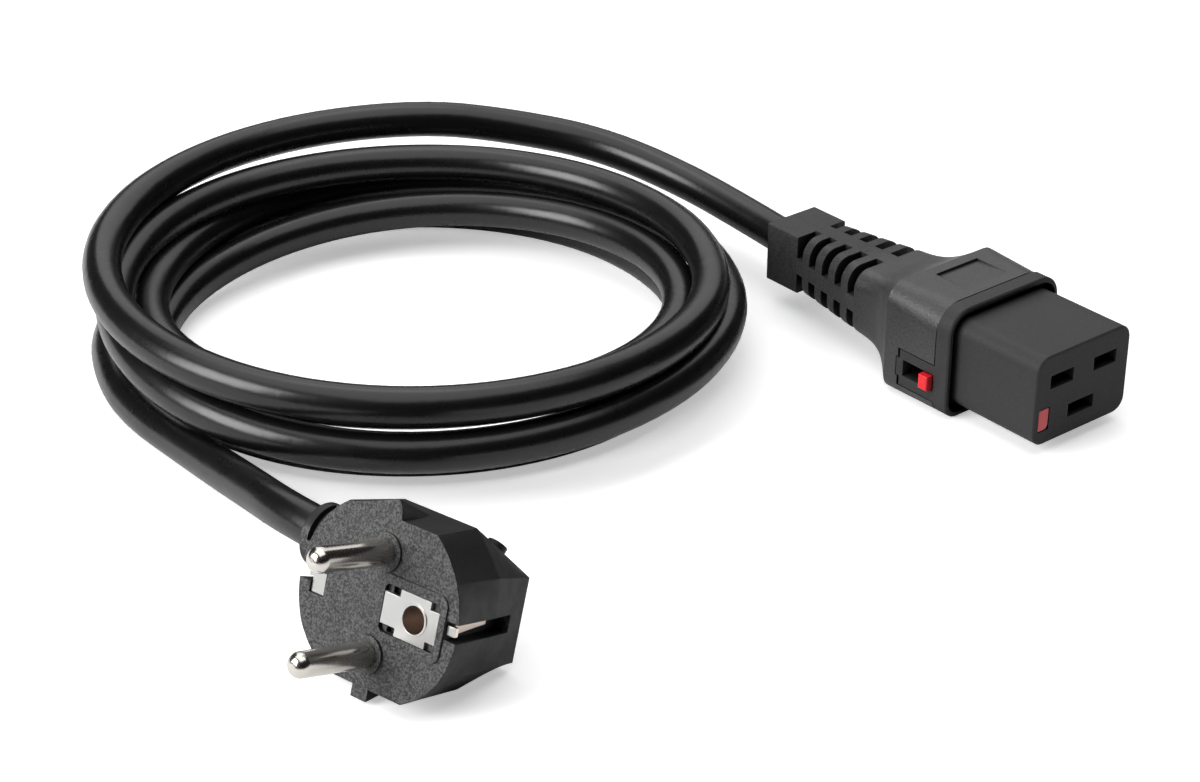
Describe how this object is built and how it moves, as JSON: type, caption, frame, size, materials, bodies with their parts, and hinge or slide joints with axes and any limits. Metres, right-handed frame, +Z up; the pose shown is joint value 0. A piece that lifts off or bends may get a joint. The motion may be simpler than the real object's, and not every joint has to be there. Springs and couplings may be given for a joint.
{
  "type": "c19 power connector",
  "caption": "Locking C19 appliance connector with a side release slider, on a coiled three-core cord that ends in an angled earthed two-pin mains plug.",
  "frame": {"origin": "middle of the underside of the connector's own box, on the surface it lies on", "axes": "+X along the connector's axis out of its mating face, +Z up, -Y the side with the release button"},
  "size_m": [0.1967, 0.2018, 0.0358],
  "materials": {
    "nose_plastic": "fine satin grain",
    "overmould": "satin, fine spark-eroded grain",
    "slider_red": "satin",
    "spring_steel": "bright drawn",
    "contact_metal": "bright",
    "insert_plastic": "matt",
    "cord_jacket": "glossy extruded",
    "core_brown": "smooth",
    "core_blue": "smooth",
    "core_green_yellow": "smooth",
    "plug_plastic": "satin, coarse grain on the face",
    "pin_metal": "polished nickel",
    "earth_metal": "satin nickel"
  },
  "bodies": {
    "cordset": {"socket_body": "nose_plastic", "rear_overmould": "overmould", "slider_spring": "spring_steel", "lock_clip": "spring_steel", "line_contact": "contact_metal", "neutral_contact": "contact_metal", "earth_contact": "contact_metal", "contact_retainer": "insert_plastic", "line_wire": "core_brown", "neutral_wire": "core_blue", "earth_wire": "core_green_yellow", "cord_lead": "cord_jacket", "cord_coil": "cord_jacket", "cord_tail": "cord_jacket", "plug_body": "plug_plastic", "pin_bridge": "insert_plastic", "live_pin": "pin_metal", "neutral_pin": "pin_metal", "earth_strap": "earth_metal", "earth_socket": "earth_metal", "plug_line_wire": "core_brown", "plug_neutral_wire": "core_blue", "plug_earth_wire": "core_green_yellow"},
    "slider": {"release_slider": "slider_red"}
  },
  "joints": [
    {"name": "release_slide", "type": "slide", "parent": "cordset", "child": "slider", "axis": [-1, 0, 0], "range_m": [0, 0.004], "stiffness_N_per_m": 300, "springref_m": -0.002, "deforming": ["slider_spring"]}
  ]
}
